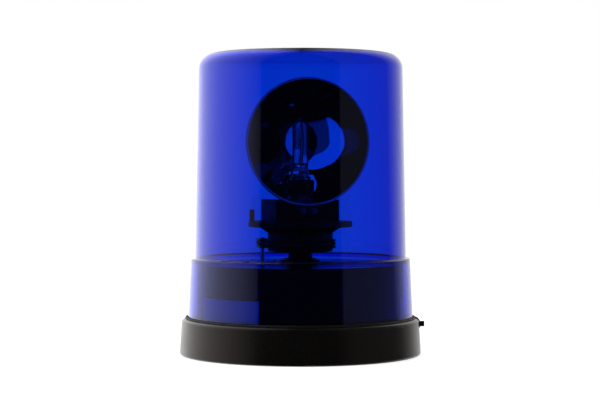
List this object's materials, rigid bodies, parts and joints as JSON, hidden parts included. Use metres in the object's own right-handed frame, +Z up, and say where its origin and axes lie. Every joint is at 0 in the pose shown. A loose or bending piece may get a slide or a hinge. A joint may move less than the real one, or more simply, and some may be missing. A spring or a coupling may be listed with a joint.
{
  "type": "rotating beacon",
  "caption": "Rotating warning beacon: blue transparent dome with a wider collar on a black base ring, with a fixed upright bulb and a belt-driven parabolic mirror inside.",
  "frame": {"origin": "centre of the three fixing points, in the mounting face under the base", "axes": "+Z up along the rotor's axis, -Y the front, +X towards the lens lock screw"},
  "size_m": [0.1693, 0.1668, 0.2088],
  "materials": {
    "black_ring": "satin moulded",
    "black_housing": "glossy moulded",
    "black_plate": "moulded",
    "brass": "turned",
    "zinc_steel": "zinc plated",
    "black_rubber": "moulded",
    "label": "bare",
    "black_polyamide": "moulded",
    "white_washer": "punched",
    "spring_steel": "blued",
    "bronze": "sintered",
    "weight_steel": "sawn and plated",
    "mirror": "evaporated aluminium on a pressed bowl",
    "motor_steel": "plated",
    "white_cap": "moulded",
    "holder": "heat-resistant moulding",
    "quartz": "clear quartz",
    "tungsten": "drawn wire",
    "ferrite_coil": "lacquered winding",
    "film_box": "moulded",
    "terminal_grey": "moulded",
    "lens_blue": "polished transparent moulding"
  },
  "bodies": {
    "base": {"base_ring": "black_ring", "base_housing": "black_housing", "bottom_plate": "black_plate", "mounting_inserts": "brass", "bottom_screws": "zinc_steel", "cable_grommet": "black_rubber", "lens_seal": "black_rubber", "rating_label": "label", "centre_post": "black_polyamide", "post_screws": "zinc_steel", "thrust_washer": "white_washer", "retaining_ring": "spring_steel", "drive_belt": "black_rubber", "motor_can": "motor_steel", "motor_end_cap": "white_cap", "motor_terminals": "brass", "motor_screws": "zinc_steel", "bulb_holder": "holder", "bulb_base": "zinc_steel", "bulb_glass": "quartz", "bulb_filament": "tungsten", "bulb_contact": "brass", "bulb_clip": "spring_steel", "suppression_choke": "ferrite_coil", "suppression_capacitor": "film_box", "terminal_block": "terminal_grey"},
    "rotor": {"lower_bush": "bronze", "upper_bush": "bronze", "drive_pulley": "black_polyamide", "reflector_carrier": "black_polyamide", "balance_weight": "weight_steel", "weight_screws": "zinc_steel", "reflector": "mirror", "reflector_screws": "zinc_steel"},
    "motor_spindle": {"motor_shaft": "zinc_steel", "motor_pulley": "brass"},
    "lens_unit": {"lens": "lens_blue"},
    "lock_screw": {"lens_lock_screw": "spring_steel"}
  },
  "joints": [
    {"name": "rotor_spin", "type": "hinge", "parent": "base", "child": "rotor", "pos_m": [0, 0, 0.0862], "axis": [0, 0, 1], "continuous": true},
    {"name": "motor_spin", "type": "hinge", "parent": "base", "child": "motor_spindle", "pos_m": [-0.02688, 0.01889, 0.0764], "axis": [0, 0, 1], "continuous": true},
    {"name": "lens_lift", "type": "slide", "parent": "base", "child": "lens_unit", "axis": [0, 0, 1], "range_m": [0, 0.2]},
    {"name": "lock_screw_out", "type": "slide", "parent": "base", "child": "lock_screw", "axis": [1, 0, 0], "range_m": [0, 0.006]}
  ],
  "couplings": [
    {"joint": "motor_spin", "follows": "rotor_spin", "ratio": 6.9412}
  ]
}
